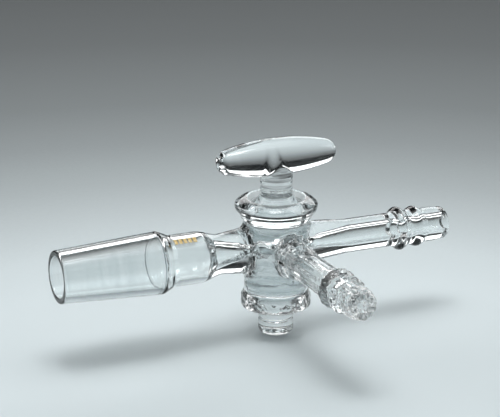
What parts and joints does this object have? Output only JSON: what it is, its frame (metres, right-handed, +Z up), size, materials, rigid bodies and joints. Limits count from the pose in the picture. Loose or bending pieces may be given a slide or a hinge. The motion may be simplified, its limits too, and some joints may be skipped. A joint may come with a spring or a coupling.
{
  "type": "glass stopcock",
  "caption": "Three-way glass stopcock: a barrel with a ground cone, a straight hose arm and a side hose arm, and a turning T-bore plug with a spindle handle.",
  "frame": {"origin": "centre of the ground cone's gauge plane, at its big end", "axes": "+X from the ground cone through the barrel to the straight hose arm, -Y along the side hose arm, +Z up the plug to its handle"},
  "size_m": [0.1016, 0.056, 0.0494],
  "materials": {
    "clear_glass": "polished"
  },
  "bodies": {
    "barrel": {"barrel": "clear_glass"},
    "plug": {"plug": "clear_glass"}
  },
  "joints": [
    {"name": "plug_turn", "type": "hinge", "parent": "barrel", "child": "plug", "pos_m": [0.0306, 0, 0], "axis": [0, 0, 1], "continuous": true}
  ]
}
